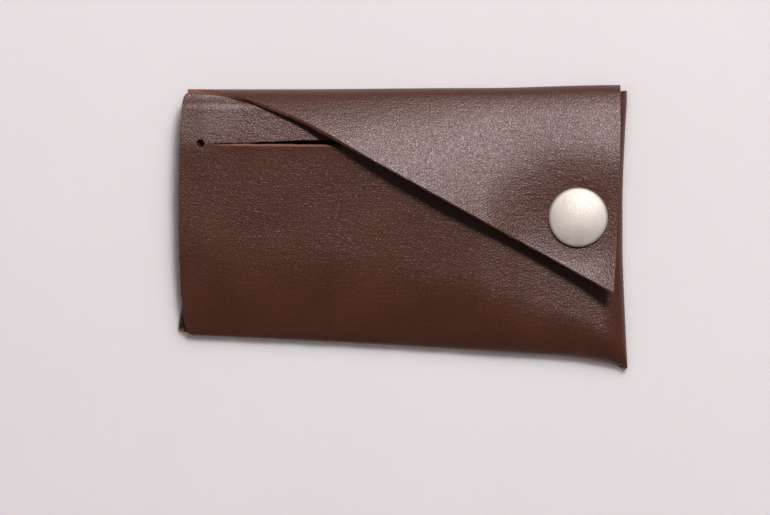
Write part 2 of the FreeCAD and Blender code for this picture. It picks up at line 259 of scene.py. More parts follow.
def fold_left(u, v):
    """The fold at the left end, which sticks out a little at its lower end."""
    turn = (LEFT_AXIS - u) / LEFT_R
    reach = 3.4 + 0.9 * smooth(-v, 19.0, 26.0)
    height = left_fold_height(np.full_like(v, LEFT_AXIS), v)
    x = LEFT_AXIS - reach * np.maximum(np.sin(turn), 0.0) ** 0.85
    return np.stack([x, v, height / 2 * (1 - np.cos(turn))], axis=1)


def fold_wrap(u, v, above_slit):
    """The part of the hide that wraps the pocket: back, right fold, front, left fold and left tab."""
    place = np.stack([u, v, 0.02 * ripple(u, v, 12.0)], axis=1)
    front = u >= RIGHT_FLAT
    right = (u > RIGHT_AXIS) & ~front
    tab = u <= LEFT_FLAT
    left = (u < LEFT_AXIS) & ~tab & (v < LEFT_HIGH[1] + 0.2)
    panel_x = RIGHT_AXIS - (u - RIGHT_FLAT)
    place[front] = fold_front(panel_x[front], v[front], above_slit[front])
    place[right] = fold_right(u[right], v[right], above_slit[right])
    place[left] = fold_left(u[left], v[left])
    tab_x = LEFT_AXIS + LEFT_FLAT - u
    tab_z = left_fold_height(tab_x, v)
    place[tab] = np.stack([tab_x, v, tab_z], axis=1)[tab]
    return place


def roll_shift(x):
    """How far the rolled fold stands out beyond the CAD's, less at the left and more at the right."""
    return -0.2 + 0.35 * smooth(x, -30.0, 20.0) + 0.75 * smooth(x, 20.0, 54.0)


def roll_half_height(x):
    """Half of the rolled fold's height, which is less towards the snap."""
    return ROLL_R - 0.7 - 0.95 * smooth(x, -25.0, 30.0)


def fold_flap(x, v, _above_slit):
    """The rolled fold and the flap, which springs up off the roll and is held down by the snap."""
    turn = np.minimum(v / ROLL_R, ROLL_END)
    beyond = np.maximum(v - ROLL_END * ROLL_R, 0.0)
    y = ROLL_Y + roll_shift(x) * smooth(turn, 0.2, 1.3) + ROLL_R * np.sin(turn) - beyond
    half_height = roll_half_height(x)
    last_slope = half_height / ROLL_R * np.tan(math.pi - ROLL_END)
    slope = 0.13 - 0.045 * smooth(x, 5.0, 40.0)
    spring = 12.4 - 5.4 * smooth(x, 0.0, 34.0)
    z = half_height * (1 - np.cos(turn)) + slope * beyond
    z = z + (last_slope - slope) * spring * (1 - np.exp(-beyond / spring))
    from_snap = np.hypot(x - SNAP[0], y - SNAP[1])
    held = (1 - smooth(from_snap, 8.0, 24.0)) * smooth(beyond, 0.0, 4.0)
    z = z + (FLAP_HIGH[2] - z) * held - 0.12 * (1 - smooth(from_snap, 7.0, 10.0))
    return np.stack([x, y, z + 0.05 * ripple(x, v, 8.0) * smooth(beyond, 0.0, 6.0)], axis=1)


def diagonal_v(x):
    """How far round the hide the diagonal cut is: straight on the flat flap, curved where it starts."""
    slack = ROLL_R * (ROLL_END - math.pi + np.sin(ROLL_END)) + roll_shift(x)
    curve = 1.5 * smooth(-x, 22.0, 40.0) + 3.1 * smooth(-x, 42.0, 55.0)
    return (x - DIAGONAL_START_X) * DIAGONAL_SLOPE + slack * smooth(x, -45.0, -25.0) + curve


def diagonal_x(v):
    """Where the diagonal cut crosses a line round the roll."""
    places = np.linspace(EAR_X, 60.0, 600)
    return float(np.interp(v, diagonal_v(places), places))


def flap_v(x, y):
    """How far round the hide a place on the flat flap is."""
    return ROLL_END * ROLL_R + ROLL_Y + float(roll_shift(x)) + ROLL_R * math.sin(ROLL_END) - y


# ---------------------------------------------------------------- the cuts in the flat hide


def on_front(x, y):
    """The place on the flat hide of a point on the front panel, seen from above."""
    one = np.array([float(x)])
    crown, start = crown_width(one)[0], (lower_edge(one) + crown_width(one))[0]
    v = float(y)
    if y < start:
        lines_y, lines_z = lower_roll(one)
        arc = np.hstack([0.0, np.cumsum(np.hypot(np.diff(lines_y[0]), np.diff(lines_z[0])))])
        share = math.asin(min((start - y) / crown, 1.0)) / (math.pi / 2)
        steps = np.arange(SECTION_STEPS)
        v = float(start - np.interp(share * steps[-1], steps, arc[:SECTION_STEPS]))
    return RIGHT_FLAT + RIGHT_AXIS - x, v


def on_right_fold(x, y):
    """The place on the flat hide of a point on the upper half of the right fold, seen from above."""
    turn = math.pi - math.asin(min((x - RIGHT_AXIS) / RIGHT_REACH, 1.0))
    return RIGHT_AXIS + RIGHT_R * turn, on_front(x, y)[1]


def on_tab(x, width):
    """The place on the flat hide of a point on the bottom tab, that far behind the lower edge."""
    one = np.array([float(x)])
    lines_y, lines_z = lower_roll(one)
    length = np.hypot(np.diff(lines_y[0]), np.diff(lines_z[0]))[:-1].sum()
    start = (lower_edge(one) + crown_width(one))[0]
    return RIGHT_FLAT + RIGHT_AXIS - x, float(start - length - width)


def wrap_outline():
    """The outline of the part that wraps the pocket. Each point is u, v and whether the next edge is cut."""
    clip = 4.0
    tab_end = LEFT_FLAT - (TAB_HIGH[0] - LEFT_AXIS)
    tab_low, fold_low, fold_high = TAB_LOW[1], LEFT_LOW[1], LEFT_HIGH[1]
    back_low = [(x, float(lower_edge(x)) + 0.7) for x in (LEFT_AXIS, -20.0, 15.0, 42.0, 50.0)]
    corner = RIGHT_AXIS + RIGHT_REACH
    points = [
        (tab_end, tab_low + clip),
        (tab_end + clip, tab_low),
        (LEFT_FLAT, tab_low),
        (LEFT_FLAT + 0.45 * math.pi * LEFT_R, fold_low),
        *back_low,
        (RIGHT_AXIS, float(lower_edge(RIGHT_AXIS)) + 0.1),
        (RIGHT_AXIS + RIGHT_R * 0.7, float(lower_edge(corner))),
        on_right_fold(corner, float(lower_edge(corner)) - 0.1),
        on_right_fold(55.2, float(lower_edge(55.2))),
        on_right_fold(RIGHT_AXIS + 0.1, float(lower_edge(RIGHT_AXIS))),
        on_front(RIGHT_AXIS - 0.8, float(lower_edge(RIGHT_AXIS - 0.8))),
        on_tab(RIGHT_AXIS - 1.8, 0.2),
        on_tab(50.0, TAB_WIDTH * 0.4),
        *[on_tab(x, TAB_WIDTH) for x in (46.0, 36.0, 24.0, 10.0, -10.0, -30.0, -44.0)],
        on_tab(-50.0, TAB_WIDTH / 2),
        on_tab(-51.6, -1.2),
        on_front(-52.6, -27.3),
        on_front(-53.7, -26.8),
        on_front(-54.3, -25.5),
        on_front(-54.85, -23.0),
        on_front(-55.5, -16.0),
        on_front(-55.9, -4.0),
        on_front(-55.9, 12.0),
        on_front(-55.45, 26.0),
        on_front(-55.1, 31.0),
        on_front(-54.7, 32.8),
        on_front(-54.2, 33.6),
        on_front(-53.4, 34.0),
        on_front(-52.4, 34.0),
        on_front(-48.0, 33.4),
        on_front(-42.0, 32.6),
        on_front(-30.0, PANEL_HIGH[1]),
        on_front(50.0, PANEL_HIGH[1]),
        (RIGHT_FLAT, 33.3),
        (RIGHT_FLAT - 1.6, 34.4),
        (RIGHT_FLAT - 3.4, 34.5),
        (RIGHT_AXIS + 1.2, 33.6),
        (RIGHT_AXIS + 0.15, 30.0),
        (RIGHT_AXIS - 0.1, ROLL_Y + 0.1),
    ]
    cut = [(u, v, True) for u, v in points]
    seam = [(ROLL_RIGHT_X, ROLL_Y, False)]
    ear = [
        (EAR_X, ROLL_Y, True),
        (EAR_X, fold_high + 0.9),
        (EAR_X + 0.4, fold_high + 0.45),
        (LEFT_AXIS + 0.1, fold_high + 0.4),
        (LEFT_AXIS + 0.1, fold_high + 0.05),
        (LEFT_AXIS - 0.3, fold_high),
        (LEFT_FLAT, fold_high),
        (tab_end + clip, fold_high),
        (tab_end, fold_high - clip),
    ]
    return cut + seam + [(place[0], place[1], True) for place in ear]


def slit_outline():
    """The outline of the thumb slit, closed at its left end and open further right, with its stop holes."""
    opening = 34.0
    around = [math.radians(a) for a in np.linspace(opening, 360 - opening, 22)]
    left = [(SLIT_LEFT_X + STOP_HOLE_R * math.cos(a), SLIT_Y + STOP_HOLE_R * math.sin(a)) for a in around]
    right = [(SLIT_RIGHT_X - STOP_HOLE_R * math.cos(a), SLIT_Y - STOP_HOLE_R * math.sin(a)) for a in around]
    places = np.array([-49.4, -48.3, -46.0, -43.0, -38.0, -32.0, -24.0, -10.0, 10.0, 28.0, 35.6])
    gap = 0.05 + 1.15 * smooth(places, -52.0, -12.0) * (1 - smooth(places, 10.0, 36.0))
    lower = [(x, SLIT_CUT_Y - 0.2 * g) for x, g in zip(places, gap)]
    upper = [(x, SLIT_CUT_Y + g) for x, g in zip(places, gap)]
    ring = left + lower + right + upper[::-1]
    return [(*on_front(x, y), True) for x, y in ring]


def round_hole(u, v, r):
    """The outline of a punched hole."""
    turns = np.linspace(0, 2 * math.pi, 28, endpoint=False)
    return [(u + r * math.cos(a), v + r * math.sin(a), True) for a in turns]


def strip_outline(start_v, end_v):
    """The outline of a stretch of the rolled fold, with seams along its two long sides."""
    points = [(left_x(start_v), start_v, False)]
    if end_v <= FLAP_STEP_V:
        points += [(ROLL_RIGHT_X, start_v, True), (ROLL_RIGHT_X, end_v, False)]
    elif start_v < FLAP_STEP_V:
        points += [
            (ROLL_RIGHT_X, start_v, True),
            (ROLL_RIGHT_X, FLAP_STEP_V, True),
            (FLAP_RIGHT_X - 0.3, FLAP_STEP_V + 0.1, True),
            (FLAP_RIGHT_X, FLAP_STEP_V + 0.5, True),
            (FLAP_RIGHT_X, end_v, False),
        ]
    else:
        points += [(FLAP_RIGHT_X, start_v, True), (FLAP_RIGHT_X, end_v, False)]
    points.append((left_x(end_v), end_v, True))
    corner_v = float(diagonal_v(EAR_X))
    if start_v < corner_v < end_v:
        points.append((EAR_X, corner_v, True))
    return points


def left_x(v):
    """Where the rolled fold's left edge is: the ear's straight side, then the diagonal cut."""
    return max(EAR_X, diagonal_x(v))


def flap_outline(start_v):
    """The outline of the flap beyond the last strip, with its rounded tip."""
    tip = [(TIP_X + 0.02, TIP_Y + 1.2), (TIP_X, TIP_Y + 0.25), (TIP_X - 0.25, TIP_Y + 0.1)]
    right = [(FLAP_RIGHT_X, 26.0), (FLAP_RIGHT_X - 0.2, 18.0), (FLAP_RIGHT_X - 0.6, 6.8), *tip]
    points = [(left_x(start_v), start_v, False), (FLAP_RIGHT_X, start_v, True)]
    points += [(x, flap_v(x, y), True) for x, y in right]
    run = np.arange(TIP_X - 1.0, diagonal_x(start_v) + 1.0, -3.0)
    return points + [(float(x), float(diagonal_v(x)), True) for x in run]


# ---------------------------------------------------------------- from a cut to a mesh


def resample(outline, step):
    """The outline with points at most a step apart, and whether the edge after each is cut."""
    points, cuts = [], []
    for (u, v, cut), (next_u, next_v, _) in zip(outline, outline[1:] + outline[:1]):
        count = max(1, math.ceil(math.hypot(next_u - u, next_v - v) / step))
        for i in range(count):
            points.append((u + (next_u - u) * i / count, v + (next_v - v) * i / count))
            cuts.append(cut)
    return np.array(points), np.array(cuts)


def signed_area(points):
    """Positive where the outline runs anticlockwise."""
    ahead = np.roll(points, -1, axis=0)
    return 0.5 * float(np.sum(points[:, 0] * ahead[:, 1] - ahead[:, 0] * points[:, 1]))


def oriented(points, cuts, anticlockwise):
    """The outline run the right way round."""
    if (signed_area(points) > 0) == anticlockwise:
        return points, cuts
    return points[::-1], np.roll(cuts[::-1], -1)


def inward_directions(points, cuts):
    """For each point, the way into the hide: away from a cut, and along a seam where a seam ends."""
    ahead = np.roll(points, -1, axis=0) - points
    ahead /= np.linalg.norm(ahead, axis=1, keepdims=True)
    behind = np.roll(ahead, 1, axis=0)
    cut_behind = np.roll(cuts, 1)
    turn_left = np.array([[0.0, 1.0], [-1.0, 0.0]])
    both = ahead @ turn_left + behind @ turn_left
    both /= np.maximum(np.linalg.norm(both, axis=1, keepdims=True), 0.3)
    into = np.where((cuts & cut_behind)[:, None], both, 0.0)
    into = np.where((~cuts & cut_behind)[:, None], ahead, into)
    return np.where((cuts & ~cut_behind)[:, None], -behind, into)


def inside(points, loops):
    """Whether each point is in the hide: inside an odd number of the loops' edges."""
    crossings = np.zeros(len(points), int)
    for loop in loops:
        ahead = np.roll(loop, -1, axis=0)
        for (u, v), (next_u, next_v) in zip(loop, ahead):
            spans = (points[:, 1] < v) != (points[:, 1] < next_v)
            if spans.any():
                cross_u = u + (points[:, 1] - v) * (next_u - u) / (next_v - v if next_v != v else 1.0)
                crossings += spans & (points[:, 0] < cross_u)
    return crossings % 2 == 1


def grid_points(loops):
    """The places inside the cut on an even grid, a little in from its edges."""
    low, high = loops[0].min(axis=0), loops[0].max(axis=0)
    rows = np.arange(low[1] + GRID / 2, high[1], GRID * 0.9)
    columns = np.arange(low[0] + GRID / 2, high[0], GRID)
    grid = np.array([(u + GRID / 2 * (i % 2), v) for i, v in enumerate(rows) for u in columns])
    grid = grid[inside(grid, loops)]
    border = np.vstack(loops)
    tree = kdtree.KDTree(len(border))
    for i, (u, v) in enumerate(border):
        tree.insert((u, v, 0.0), i)
    tree.balance()
    clear = [tree.find((u, v, 0.0))[2] > 0.75 * GRID for u, v in grid]
    return grid[np.array(clear, bool)]


def triangles_of(loops, grid):
    """Triangles between the loops' points and the grid's."""
    points = np.vstack([*loops, grid])
    edges, first = [], 0
    for loop in loops:
        edges += [(first + i, first + (i + 1) % len(loop)) for i in range(len(loop))]
        first += len(loop)
    flat = [Vector((float(u), float(v))) for u, v in points]
    _, _, faces, sources, _, _ = geometry.delaunay_2d_cdt(flat, edges, [], 1, 1e-7)
    triangles = np.array([[sources[i][0] for i in face] for face in faces])
    kept = inside(points[triangles].mean(axis=1), loops)
    return [tuple(int(i) for i in triangle) for triangle in triangles[kept]]


def above_the_slit(u, v):
    """Whether a place is on the front panel above the slit."""
    return (u >= RIGHT_FLAT - 0.2) & (v > SLIT_CUT_Y)


def folded(fold, u, v, depth, above):
    """Where places on the hide lie after folding, that far below its outer face, and their normals."""
    place = fold(u, v, above)
    along_u = fold(u + NORMAL_STEP, v, above) - fold(u - NORMAL_STEP, v, above)
    along_v = fold(u, v + NORMAL_STEP, above) - fold(u, v - NORMAL_STEP, above)
    normal = np.cross(along_v, along_u)
    normal /= np.maximum(np.linalg.norm(normal, axis=1, keepdims=True), 1e-9)
    return place - depth[:, None] * normal, normal


def edge_rings(points, into, bevel):
    """The rings of points down an edge, each with its places and its depth. The lower ones are uneven."""
    rough = ripple(points[:, 0], points[:, 1], 0.16)
    rougher = ripple(points[:, 0] + 3.3, points[:, 1], 0.1)
    slow = 0.05 * ripple(points[:, 0], points[:, 1], 1.7)
    insets = [
        (0.12 + 0.03 * rough, 0.0),
        (0.035 + 0.02 * rough, 0.03),
        (0.0 * rough, 0.14),
        (0.03 * rough, 0.5),
        (0.03 + 0.06 * rougher, 0.9),
        (0.02 + 0.1 * rough - 0.05 * rougher, 1.25),
        (0.1 + 0.12 * rougher, LEATHER),
    ]
    rings = []
    for inset, depth in insets:
        places = points + into * (inset + slow)[:, None] + bevel * (1 - depth / LEATHER)
        rings.append((places, np.full(len(points), depth)))
    return rings


def hide_mesh(name, fold, outline, holes=(), bevel=None):
    """A folded piece of hide with its grain side, its flesh side and the raw edges between them."""
    loops = [oriented(*resample(outline, EDGE_STEP), True)]
    loops += [oriented(*resample(hole, EDGE_STEP * 0.6), False) for hole in holes]
    rings = []
    for points, cuts in loops:
        extra = bevel(points) if bevel else np.zeros_like(points)
        rings.append(edge_rings(points, inward_directions(points, cuts), extra))
    grid = grid_points([ring[0][0] for ring in rings])
    triangles = triangles_of([ring[0][0] for ring in rings], grid)
    border = np.vstack([points for points, _ in loops])
    border_above = above_the_slit(border[:, 0], border[:, 1])
    grid_above = above_the_slit(grid[:, 0], grid[:, 1])
    levels = len(rings[0])
    places, normals, flats = [], [], []
    for level in range(levels):
        flat = np.vstack([ring[level][0] for ring in rings])
        depth = np.hstack([ring[level][1] for ring in rings])
        place, normal = folded(fold, flat[:, 0], flat[:, 1], depth, border_above)
        shown = {0: 1.0, levels - 1: -1.0}.get(level, 0.0)
        places.append(place)
        normals.append(normal * shown)
        flats.append(np.column_stack([flat, -depth]))
    for depth, sign in ((0.0, 1.0), (LEATHER, -1.0)):
        depths = np.full(len(grid), depth)
        place, normal = folded(fold, grid[:, 0], grid[:, 1], depths, grid_above)
        places.append(place)
        normals.append(normal * sign)
        flats.append(np.column_stack([grid, -depths]))
    count = len(border)
    outer = moved_faces(triangles, count, 0, levels * count)
    under = moved_faces(triangles, count, (levels - 1) * count, levels * count + len(grid))
    walls = wall_faces(loops, levels, count)
    faces = [face[::-1] for face in outer] + under + [face for face, _, _ in walls]
    finish = [0] * len(outer) + [2] * len(under) + [kind for _, kind, _ in walls]
    soft = [True] * (len(outer) + len(under)) + [is_cut for _, _, is_cut in walls]
    return new_piece(name, np.vstack(places), faces, finish, soft, np.vstack(normals), np.vstack(flats))


def moved_faces(triangles, count, border_start, grid_start):
    """The triangles with their points counted from where the border's and the grid's points start."""
    return [
        tuple(border_start + i if i < count else grid_start + i - count for i in triangle)
        for triangle in triangles
    ]


def wall_faces(loops, levels, count):
    """The faces down the edges, with their finish, grain at the top and raw below, and if they are a cut."""
    faces, first = [], 0
    for points, cuts in loops:
        size = len(points)
        for i in range(size):
            here, ahead = first + i, first + (i + 1) % size
            for level in range(levels - 1):
                upper, lower = level * count, (level + 1) * count
                face = (upper + here, upper + ahead, lower + ahead, lower + here)
                faces.append((face, 0 if level == 0 else 1, bool(cuts[i])))
        first += size
    return faces


def new_piece(name, places, faces, finish, soft, normals, flats):
    """A mesh object from places in millimetres, that remembers where each point was on the flat hide."""
    mesh = bpy.data.meshes.new(name)
    mesh.from_pydata((places * MM).tolist(), [], faces)
    mesh.polygons.foreach_set("material_index", finish)
    mesh.polygons.foreach_set("use_smooth", soft)
    flat = mesh.attributes.new("hide", "FLOAT_VECTOR", "POINT")
    flat.data.foreach_set("vector", flats.astype(np.float32).ravel())
    mesh.update()
    corners = np.empty(len(mesh.loops), dtype=np.int32)
    mesh.loops.foreach_get("vertex_index", corners)
    mesh.normals_split_custom_set(normals[corners].tolist())
    piece = bpy.data.objects.new(name, mesh)
    bpy.context.scene.collection.objects.link(piece)
    return piece


# ---------------------------------------------------------------- materials


def new_material(name):
    """An empty node material."""
    material = bpy.data.materials.new(name)
    material.use_nodes = True
    material.node_tree.nodes.clear()
    return material


def add(material, kind, inputs=None, **settings):
    """A node with its settings, and its inputs set or linked."""
    tree = material.node_tree
    node = tree.nodes.new(kind)
    for key, value in settings.items():
        setattr(node, key, value)
    for key, value in (inputs or {}).items():
        if isinstance(value, bpy.types.NodeSocket):
            tree.links.new(value, node.inputs[key])
        else:
            node.inputs[key].default_value = value
    return node


def math_of(material, operation, first, second=0.0):
    """The result of a sum on two values."""
    return add(material, "ShaderNodeMath", {0: first, 1: second}, operation=operation).outputs[0]


def levels_of(material, value, low, high, start=0.0, end=1.0):
    """A value taken from one range to another, and kept inside it."""
    inputs = {"Value": value, "From Min": low, "From Max": high, "To Min": start, "To Max": end}
    return add(material, "ShaderNodeMapRange", inputs).outputs["Result"]


def blended(material, share, first, second):
    """A colour between two."""
    node = add(material, "ShaderNodeMix", data_type="RGBA")
    tree = material.node_tree
    for socket, value in (("Factor_Float", share), ("A_Color", first), ("B_Color", second)):
        target = next(s for s in node.inputs if s.identifier == socket)
        if isinstance(value, bpy.types.NodeSocket):
            tree.links.new(value, target)
        else:
            target.default_value = value
    return next(s for s in node.outputs if s.identifier == "Result_Color")


def finished(material, inputs):
    """The material with its shader linked to its output."""
    shader = add(material, "ShaderNodeBsdfPrincipled", inputs)
    add(material, "ShaderNodeOutputMaterial", {"Surface": shader.outputs[0]})
    return material


def on_hide(material, scale=(1.0, 1.0, 1.0)):
    """The place on the flat hide, in millimetres, so that the grain is folded with the hide."""
    place = add(material, "ShaderNodeAttribute", attribute_name="hide").outputs["Vector"]
    return add(material, "ShaderNodeMapping", {"Vector": place, "Scale": scale}).outputs[0]


def noise_of(material, place, scale, detail=2.0, roughness=0.5):
    """Cloudy noise."""
    inputs = {"Vector": place, "Scale": scale, "Detail": detail, "Roughness": roughness}
    return add(material, "ShaderNodeTexNoise", inputs).outputs["Fac"]


def grain_leather():
    """The dyed outer face: fine pebbles, soft creases, a colour that drifts a little, and painted shade in
    the pebbles' valleys.
    """
    material = new_material("leather_grain")
    place = on_hide(material)
    drift = add(material, "ShaderNodeTexNoise", {"Vector": place, "Scale": 0.9, "Detail": 2.0})
    offset = add(
        material, "ShaderNodeVectorMath", {0: drift.outputs["Color"], "Scale": 0.5}, operation="SCALE"
    ).outputs[0]
    bent = add(material, "ShaderNodeVectorMath", {0: place, 1: offset}).outputs[0]
    cells = add(
        material, "ShaderNodeTexVoronoi", {"Vector": bent, "Scale": 1.45}, feature="DISTANCE_TO_EDGE"
    ).outputs["Distance"]
    small_cells = add(
        material, "ShaderNodeTexVoronoi", {"Vector": bent, "Scale": 2.8}, feature="DISTANCE_TO_EDGE"
    ).outputs["Distance"]
    pebbles = levels_of(material, cells, 0.0, 0.22)
    small_pebbles = levels_of(material, small_cells, 0.0, 0.25)
    fine = noise_of(material, place, 8.0, 3.0, 0.6)
    creases = noise_of(material, on_hide(material, (0.35, 1.0, 1.0)), 0.9, 4.0, 0.55)
    height = math_of(material, "MULTIPLY", pebbles, 0.45)
    for layer, share in ((small_pebbles, 0.25), (fine, 0.25), (creases, 1.3)):
        height = math_of(material, "ADD", height, math_of(material, "MULTIPLY", layer, share))
    surface = add(material, "ShaderNodeBump", {"Height": height, "Strength": 1.0, "Distance": 0.00005})
    clouds = levels_of(material, noise_of(material, place, 0.07, 3.0), 0.3, 0.7)
    colour = blended(material, clouds, (0.060, 0.0170, 0.0083, 1), (0.075, 0.0227, 0.0113, 1))
    # Painted shade: the colour darkens by up to 45% along the pebbles' valleys, where the bump is lowest.
    valley_shade = levels_of(material, cells, 0.0, 0.09, 0.45, 0.0)
    colour = blended(material, valley_shade, colour, (0.030, 0.0085, 0.0045, 1))
    specks = levels_of(material, noise_of(material, place, 5.0, 2.0), 0.62, 0.8, 0.0, 0.25)
    colour = blended(material, specks, colour, (0.13, 0.052, 0.034, 1))
    rough = levels_of(material, noise_of(material, place, 1.3, 3.0), 0.3, 0.7, 0.30, 0.38)
    inputs = {"Base Color": colour, "Roughness": rough, "Normal": surface.outputs[0]}
    inputs |= {"Specular IOR Level": 0.52, "Specular Tint": (1.0, 0.89, 0.91, 1)}
    return finished(material, inputs)


def raw_edge():
    """The cut edge: pale brown fibres, with dye that has soaked in from the outer face."""
    material = new_material("leather_edge")
    place = on_hide(material)
    fibres = noise_of(material, on_hide(material, (1.0, 1.0, 3.5)), 3.2, 5.0, 0.7)
    depth = add(material, "ShaderNodeSeparateXYZ", {0: place}).outputs["Z"]
    soaked = levels_of(material, depth, -0.3, -0.02)
    patches = levels_of(material, noise_of(material, place, 0.35, 3.0), 0.35, 0.65)
    raw = blended(material, fibres, (0.185, 0.066, 0.034, 1), (0.44, 0.205, 0.130, 1))
    raw = blended(material, levels_of(material, patches, 0.0, 1.0, 0.0, 0.55), raw, (0.215, 0.080, 0.046, 1))
    colour = blended(material, soaked, raw, (0.11, 0.037, 0.020, 1))
    surface = add(material, "ShaderNodeBump", {"Height": fibres, "Strength": 1.0, "Distance": 0.00015})
    inputs = {"Base Color": colour, "Roughness": 0.85, "Normal": surface.outputs[0]}
    return finished(material, inputs)


def flesh_side():
    """The undyed back of the hide, matt and slightly furry, with painted shade in the hollows of its nap."""
    material = new_material("leather_flesh")
    place = on_hide(material)
    nap = noise_of(material, place, 2.4, 6.0, 0.75)
    clouds = noise_of(material, place, 0.12, 3.0)
    colour = blended(material, clouds, (0.15, 0.062, 0.036, 1), (0.23, 0.108, 0.066, 1))
    # Painted shade: the colour darkens in the low places of the nap, where the bump is lowest.
    hollow_shade = levels_of(material, nap, 0.35, 0.65, 0.5, 0.0)
    colour = blended(material, hollow_shade, colour, (0.09, 0.034, 0.019, 1))
    surface = add(material, "ShaderNodeBump", {"Height": nap, "Strength": 1.0, "Distance": 0.00012})
    inputs = {"Base Color": colour, "Roughness": 0.95, "Normal": surface.outputs[0], "Sheen Weight": 0.3}
    return finished(material, inputs)


def metal(name, colour, worn, rough, grain):
    """Plated metal with a fine blasted surface and a few duller patches."""
    material = new_material(name)
    place = add(material, "ShaderNodeTexCoord").outputs["Object"]
    speckle = noise_of(material, place, grain, 3.0, 0.6)
    patches = levels_of(material, noise_of(material, place, 260.0, 3.0), 0.4, 0.7)
    tint = blended(material, patches, colour, worn)
    roughness = levels_of(material, speckle, 0.3, 0.7, rough - 0.06, rough + 0.08)
    surface = add(material, "ShaderNodeBump", {"Height": speckle, "Strength": 0.5, "Distance": 0.00003})
    inputs = {"Base Color": tint, "Metallic": 1.0, "Roughness": roughness, "Normal": surface.outputs[0]}
    return finished(material, inputs)


def floor_material():
    """A plain pale surface."""
    material = new_material("pale_floor")
    place = add(material, "ShaderNodeTexCoord").outputs["Object"]
    clouds = noise_of(material, place, 14.0, 3.0)
    colour = blended(material, clouds, (0.79, 0.750, 0.765, 1), (0.83, 0.790, 0.805, 1))
    inputs = {"Base Color": colour, "Roughness": 0.9, "Specular IOR Level": 0.2}
    inputs |= {"Subsurface Weight": 1.0, "Subsurface Radius": (1.0, 0.9, 0.85), "Subsurface Scale": 0.006}
    return finished(material, inputs)


# ---------------------------------------------------------------- the pieces


def roll_length(angle):
    """How far round the hide an angle on the rolled fold is."""
    return ROLL_R * math.radians(angle + 90.0)


def slit_bevel(points):
    """How far the slit's lower lip slopes back across the hide, so that its raw edge shows from above."""
    x = RIGHT_AXIS - (points[:, 0] - RIGHT_FLAT)
    below = points[:, 1] < SLIT_CUT_Y
    between = (x > SLIT_LEFT_X + 1.2) & (x < SLIT_RIGHT_X - 1.2) & (points[:, 1] > SLIT_Y - 0.9)
    back = np.where(below & between, 0.12 + 0.25 * slit_lift(x), 0.0)
    return np.column_stack([np.zeros_like(back), -back])


def diagonal_bevel(points):
    """How far the diagonal cut slopes back along the hide, so that its raw edge shows beside the roll."""
    x, v = points[:, 0], points[:, 1]
    on_diagonal = np.abs(v - diagonal_v(x)) < 0.05
    back = np.where(on_diagonal, 0.8 * smooth(x, -40.0, -32.0) * (1 - smooth(x, -20.0, -8.0)), 0.0)
    return np.column_stack([back, np.zeros_like(back)])


def make_hide(finishes):
    """The hide, in five pieces that meet at seams across the rolled fold. The part that wraps the pocket goes
    with the wallet.
    """
    stud_hole = round_hole(RIGHT_FLAT + RIGHT_AXIS - SNAP[0], SNAP[1], POST_R)
    wrap = hide_mesh("hide_wrap", fold_wrap, wrap_outline(), [slit_outline(), stud_hole], slit_bevel)
    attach(wrap, "wallet")
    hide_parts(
        *("back_panel", "left_fold", "left_tab", "right_fold", "front_panel"),
        *("bottom_fold_upper", "bottom_fold_lower", "bottom_tab"),
    )
    pieces = [wrap]
    starts = [0.0, *[roll_length(angle) for angle in STRIP_END_ANGLES]]
    for index, start in enumerate(starts):
        if index < len(starts) - 1:
            outline = strip_outline(start, starts[index + 1])
            piece = hide_mesh(f"hide_roll_{index + 1}", fold_flap, outline, bevel=diagonal_bevel)
            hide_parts(f"fold_strip_{index + 1}")
        else:
            post_hole = round_hole(SNAP[0], flap_v(*SNAP), POST_R)
            piece = hide_mesh("hide_flap", fold_flap, flap_outline(start), [post_hole], diagonal_bevel)
            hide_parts("flap")
        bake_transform(piece)
        pieces.append(piece)
    for piece in pieces:
        for finish in finishes:
            piece.data.materials.append(finish)
    flap_outline(starts[-1])


def rounded_corners(profile, r, count=4):
    """A closed profile with each corner replaced by a small curve."""
    points = []
    for i, corner in enumerate(profile):
        corner = np.array(corner, float)
        before, after = np.array(profile[i - 1], float), np.array(profile[(i + 1) % len(profile)], float)
        if corner[0] < 1e-6:
            points.append(corner)
            continue
        trim = min(r, 0.45 * np.linalg.norm(before - corner), 0.45 * np.linalg.norm(after - corner))
        start = corner + (before - corner) / np.linalg.norm(before - corner) * trim
        end = corner + (after - corner) / np.linalg.norm(after - corner) * trim
        for t in np.linspace(0.0, 1.0, count):
            points.append((1 - t) ** 2 * start + 2 * t * (1 - t) * corner + t**2 * end)
    return np.array(points)


def lathe(name, profile, closed=True, count=120):
    """A mesh turned about the snap's axis, from radii and heights."""
    turns = np.linspace(0.0, 2 * math.pi, count, endpoint=False)
    places = [(SNAP[0] + r * math.cos(a), SNAP[1] + r * math.sin(a), z) for a in turns for r, z in profile]
    size = len(profile)
    steps = size if closed else size - 1
    faces = []
    for i in range(count):
        here, ahead = i * size, (i + 1) % count * size
        faces += [(here + j, ahead + j, ahead + (j + 1) % size, here + (j + 1) % size) for j in range(steps)]
    mesh = bpy.data.meshes.new(name)
    mesh.from_pydata((np.array(places) * MM).tolist(), [], faces)
    close_centre(mesh)
    mesh.polygons.foreach_set("use_smooth", [True] * len(mesh.polygons))
    mesh.update()
    piece = bpy.data.objects.new(name, mesh)
    bpy.context.scene.collection.objects.link(piece)
    return piece


def close_centre(mesh):
    """Joins the points that lie together on the axis."""
    work = bmesh.new()
    work.from_mesh(mesh)
    bmesh.ops.remove_doubles(work, verts=work.verts[:], dist=1e-7)
    work.to_mesh(mesh)
    work.free()


